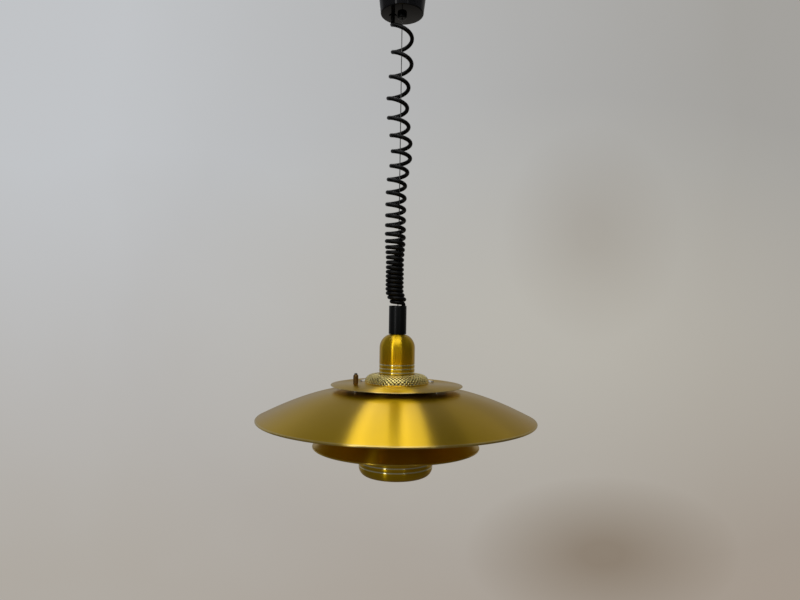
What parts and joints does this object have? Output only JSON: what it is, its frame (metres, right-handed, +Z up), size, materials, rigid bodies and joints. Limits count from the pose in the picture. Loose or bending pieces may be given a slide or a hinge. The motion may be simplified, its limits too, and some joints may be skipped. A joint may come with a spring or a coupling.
{
  "type": "rise and fall pendant lamp",
  "caption": "Ceiling pendant that rises and falls on a spring reel: black reel housing, curly cord, bell, vent dome, disc, two shades and an open cup in gold-coloured metal.",
  "frame": {"origin": "centre of the eye that the ceiling hook goes through", "axes": "+Z up along the lift wire, -Y towards the viewer of the picture, +X to the viewer's right"},
  "size_m": [0.4, 0.4, 0.7913],
  "materials": {
    "black_plastic": "glossy",
    "cord_black": "satin",
    "steel": "satin",
    "gold_aluminium": "brushed, anodised",
    "old_brass": "aged",
    "bright_brass": "satin",
    "white_paint": "satin",
    "ivory_plastic": "matte",
    "friction_fibre": "matte",
    "opal_glass": "opal"
  },
  "bodies": {
    "housing": {"housing_cup": "black_plastic", "reel_frame": "steel", "hook_eye": "steel", "drum_axle": "steel", "axle_clip": "steel", "tension_nut": "old_brass", "brake_washer": "friction_fibre", "spring_case": "steel", "power_spring": "steel", "terminal_block": "ivory_plastic", "terminal_screws": "steel", "supply_grip": "black_plastic", "guide_bush": "black_plastic", "bush_nut": "steel", "cord_grip": "black_plastic"},
    "drum": {"wire_drum": "ivory_plastic", "drum_winding": "steel"},
    "lamp": {"lift_wire": "steel", "wire_ferrule": "old_brass", "wire_anchor": "steel", "curly_cord": "cord_black", "cord_sleeve": "black_plastic", "nipple": "steel", "nipple_nuts": "steel", "bell_cover": "gold_aluminium", "holder_cap": "black_plastic", "holder_core": "ivory_plastic", "thread_shell": "bright_brass", "centre_contact": "bright_brass", "holder_sleeve": "black_plastic", "shade_ring": "black_plastic", "vent_dome": "gold_aluminium", "top_disc": "gold_aluminium", "knob_nut": "old_brass", "disc_spacers": "steel", "inner_reflector": "white_paint", "glare_collar": "white_paint", "shade_spacers": "steel", "large_crown": "gold_aluminium", "large_shade": "gold_aluminium", "support_rods": "steel", "long_spacers": "bright_brass", "second_crown": "gold_aluminium", "second_shade": "gold_aluminium", "cup_flange": "gold_aluminium", "bottom_cup": "gold_aluminium", "rod_nuts": "steel", "bulb_cap": "steel", "bulb_glass": "opal_glass"}
  },
  "joints": [
    {"name": "rise_fall", "type": "slide", "parent": "housing", "child": "lamp", "axis": [0, 0, 1], "range_m": [-0.9, 0.18], "deforming": ["curly_cord", "lift_wire"]},
    {"name": "drum_turn", "type": "hinge", "parent": "housing", "child": "drum", "pos_m": [0.013, 0, -0.049], "axis": [0, 1, 0], "range_deg": [-3990, 820]}
  ],
  "couplings": [
    {"joint": "drum_turn", "follows": "rise_fall", "rad_per_m": 76.923}
  ]
}
